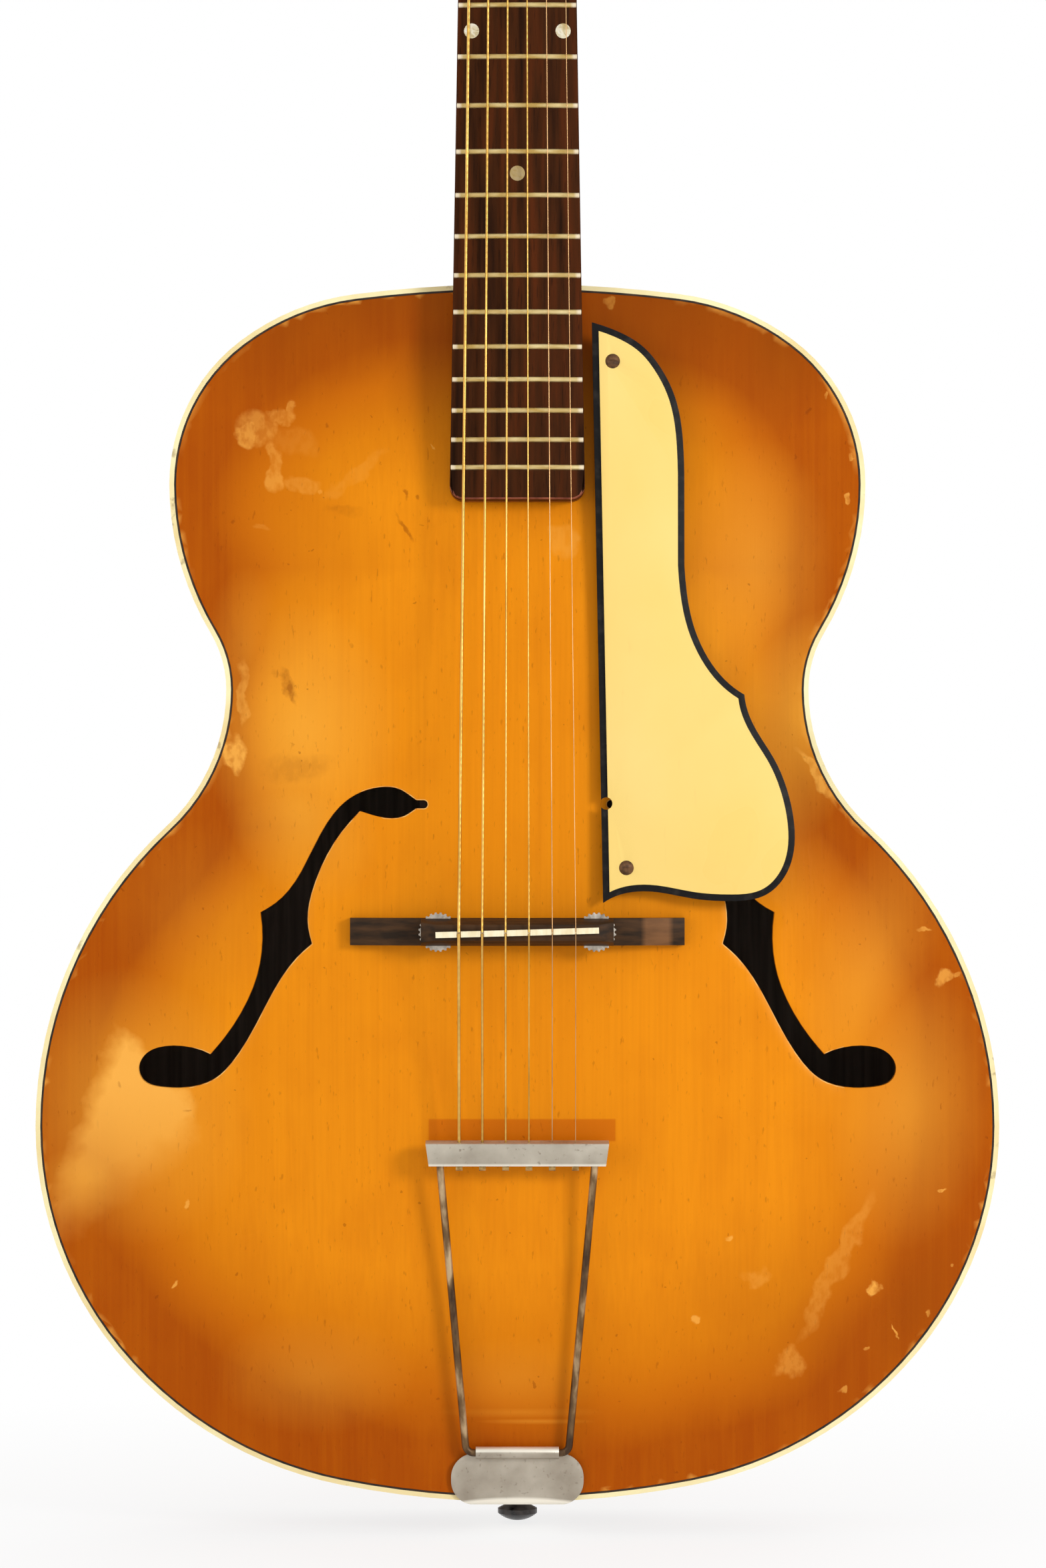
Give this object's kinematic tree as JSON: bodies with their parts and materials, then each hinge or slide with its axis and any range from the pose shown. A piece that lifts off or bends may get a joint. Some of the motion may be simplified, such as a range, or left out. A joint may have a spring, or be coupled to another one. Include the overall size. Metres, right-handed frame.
{
  "type": "archtop guitar",
  "caption": "Acoustic archtop guitar with f-holes, floating bridge, trapeze tailpiece, raised pickguard and open-gear tuners.",
  "frame": {"origin": "middle of the strap button's rim, on the centre line at half the rib depth", "axes": "+Z along the centre line from the tail to the headstock, front towards -Y, bass side towards -X"},
  "size_m": [0.4104, 0.1389, 1.0564],
  "materials": {
    "top_lacquer": "amber to brown burst under worn satin lacquer",
    "back_lacquer": "brown lacquer",
    "inner_wood": "bare wood",
    "ivory_binding": "aged ivory",
    "black_line": "black",
    "black_pin": "black",
    "neck_wood": "reddish brown lacquer",
    "fretboard_wood": "oiled dark wood",
    "fret_metal": "worn",
    "dot_pearl": "pearl",
    "bone": "polished bone",
    "veneer": "black lacquer",
    "bridge_wood": "dark wood",
    "bridge_metal": "nickel",
    "guard_plastic": "cream with a black border",
    "old_screws": "tarnished",
    "tail_metal": "dull nickel",
    "string_metal": "bronze wound and plain steel",
    "tuner_metal": "nickel",
    "post_metal": "nickel",
    "gear_metal": "brass",
    "worm_metal": "nickel",
    "button_plastic": "ivory"
  },
  "bodies": {
    "guitar": {"top_plate": "top_lacquer", "back_plate": "back_lacquer", "ribs": "back_lacquer", "end_blocks": "inner_wood", "linings": "inner_wood", "tone_bars": "inner_wood", "pickguard_spacers": "inner_wood", "top_binding": "ivory_binding", "back_binding": "ivory_binding", "top_purfling": "black_line", "end_pin": "black_pin", "neck": "neck_wood", "fretboard": "fretboard_wood", "frets": "fret_metal", "position_dots": "dot_pearl", "nut": "bone", "headstock_veneer": "veneer", "bridge_base": "bridge_wood", "bridge_posts": "bridge_metal", "pickguard": "guard_plastic", "pickguard_screws": "old_screws", "bracket_screws": "old_screws", "tuner_plate_screws": "old_screws", "tailpiece_bracket": "tail_metal", "string_heads": "string_metal", "tuner_plates": "tuner_metal", "post_bushings": "tuner_metal"},
    "saddle": {"bridge_saddle": "bridge_wood", "saddle_insert": "bone"},
    "wheel_bass": {"thumbwheel_bass": "bridge_metal"},
    "wheel_treble": {"thumbwheel_treble": "bridge_metal"},
    "speaking_strings": {"strings": "string_metal"},
    "tailpiece": {"tailpiece_trapeze": "tail_metal", "tailpiece_bar": "tail_metal", "string_tails": "string_metal"},
    "post_6": {"tuner_post_6": "post_metal", "tuner_gear_6": "gear_metal"},
    "worm_6": {"tuner_worm_6": "worm_metal", "tuner_button_6": "button_plastic"},
    "post_5": {"tuner_post_5": "post_metal", "tuner_gear_5": "gear_metal"},
    "worm_5": {"tuner_worm_5": "worm_metal", "tuner_button_5": "button_plastic"},
    "post_4": {"tuner_post_4": "post_metal", "tuner_gear_4": "gear_metal"},
    "worm_4": {"tuner_worm_4": "worm_metal", "tuner_button_4": "button_plastic"},
    "post_3": {"tuner_post_3": "post_metal", "tuner_gear_3": "gear_metal"},
    "worm_3": {"tuner_worm_3": "worm_metal", "tuner_button_3": "button_plastic"},
    "post_2": {"tuner_post_2": "post_metal", "tuner_gear_2": "gear_metal"},
    "worm_2": {"tuner_worm_2": "worm_metal", "tuner_button_2": "button_plastic"},
    "post_1": {"tuner_post_1": "post_metal", "tuner_gear_1": "gear_metal"},
    "worm_1": {"tuner_worm_1": "worm_metal", "tuner_button_1": "button_plastic"}
  },
  "joints": [
    {"name": "saddle_lift", "type": "slide", "parent": "guitar", "child": "saddle", "axis": [0, -1, 0], "range_m": [-0.001, 0.0034]},
    {"name": "thumbwheel_bass_turn", "type": "hinge", "parent": "saddle", "child": "wheel_bass", "pos_m": [-0.0333, -0.0665, 0.25285], "axis": [0, -1, 0], "range_deg": [-450, 1530]},
    {"name": "thumbwheel_treble_turn", "type": "hinge", "parent": "saddle", "child": "wheel_treble", "pos_m": [0.0333, -0.0665, 0.25285], "axis": [0, -1, 0], "range_deg": [-450, 1530]},
    {"name": "tailpiece_hinge", "type": "hinge", "parent": "guitar", "child": "tailpiece", "pos_m": [0, -0.0479, 0.03105], "axis": [1, 0, 0], "range_deg": [-0.26, 0.88]},
    {"name": "string_pivot", "type": "hinge", "parent": "guitar", "child": "speaking_strings", "pos_m": [0, -0.04304, 0.87635], "axis": [1, 0, 0], "range_deg": [-0.31244, 0.091894]},
    {"name": "post_6_turn", "type": "hinge", "parent": "guitar", "child": "post_6", "pos_m": [-0.0225, -0.00617, 0.91216], "axis": [0, 0.9603, -0.279], "continuous": true},
    {"name": "worm_6_turn", "type": "hinge", "parent": "guitar", "child": "worm_6", "pos_m": [-0.0225, -0.00814, 0.90538], "axis": [1, 0, 0], "continuous": true},
    {"name": "post_5_turn", "type": "hinge", "parent": "guitar", "child": "post_5", "pos_m": [-0.0225, 0.00499, 0.95057], "axis": [0, 0.9603, -0.279], "continuous": true},
    {"name": "worm_5_turn", "type": "hinge", "parent": "guitar", "child": "worm_5", "pos_m": [-0.0225, 0.00302, 0.94379], "axis": [1, 0, 0], "continuous": true},
    {"name": "post_4_turn", "type": "hinge", "parent": "guitar", "child": "post_4", "pos_m": [-0.0225, 0.01615, 0.98898], "axis": [0, 0.9603, -0.279], "continuous": true},
    {"name": "worm_4_turn", "type": "hinge", "parent": "guitar", "child": "worm_4", "pos_m": [-0.0225, 0.01418, 0.98221], "axis": [1, 0, 0], "continuous": true},
    {"name": "post_3_turn", "type": "hinge", "parent": "guitar", "child": "post_3", "pos_m": [0.0225, 0.01615, 0.98898], "axis": [0, 0.9603, -0.279], "continuous": true},
    {"name": "worm_3_turn", "type": "hinge", "parent": "guitar", "child": "worm_3", "pos_m": [0.0225, 0.01418, 0.98221], "axis": [1, 0, 0], "continuous": true},
    {"name": "post_2_turn", "type": "hinge", "parent": "guitar", "child": "post_2", "pos_m": [0.0225, 0.00499, 0.95057], "axis": [0, 0.9603, -0.279], "continuous": true},
    {"name": "worm_2_turn", "type": "hinge", "parent": "guitar", "child": "worm_2", "pos_m": [0.0225, 0.00302, 0.94379], "axis": [1, 0, 0], "continuous": true},
    {"name": "post_1_turn", "type": "hinge", "parent": "guitar", "child": "post_1", "pos_m": [0.0225, -0.00617, 0.91216], "axis": [0, 0.9603, -0.279], "continuous": true},
    {"name": "worm_1_turn", "type": "hinge", "parent": "guitar", "child": "worm_1", "pos_m": [0.0225, -0.00814, 0.90538], "axis": [1, 0, 0], "continuous": true}
  ],
  "couplings": [
    {"joint": "thumbwheel_treble_turn", "follows": "thumbwheel_bass_turn", "ratio": 1},
    {"joint": "saddle_lift", "follows": "thumbwheel_bass_turn", "m_per_rad": 0.00012732},
    {"joint": "tailpiece_hinge", "follows": "thumbwheel_bass_turn", "ratio": 0.00057405},
    {"joint": "string_pivot", "follows": "thumbwheel_bass_turn", "ratio": -0.00020421},
    {"joint": "post_6_turn", "follows": "worm_6_turn", "ratio": -0.071429},
    {"joint": "post_5_turn", "follows": "worm_5_turn", "ratio": -0.071429},
    {"joint": "post_4_turn", "follows": "worm_4_turn", "ratio": -0.071429},
    {"joint": "post_3_turn", "follows": "worm_3_turn", "ratio": 0.071429},
    {"joint": "post_2_turn", "follows": "worm_2_turn", "ratio": 0.071429},
    {"joint": "post_1_turn", "follows": "worm_1_turn", "ratio": 0.071429}
  ]
}
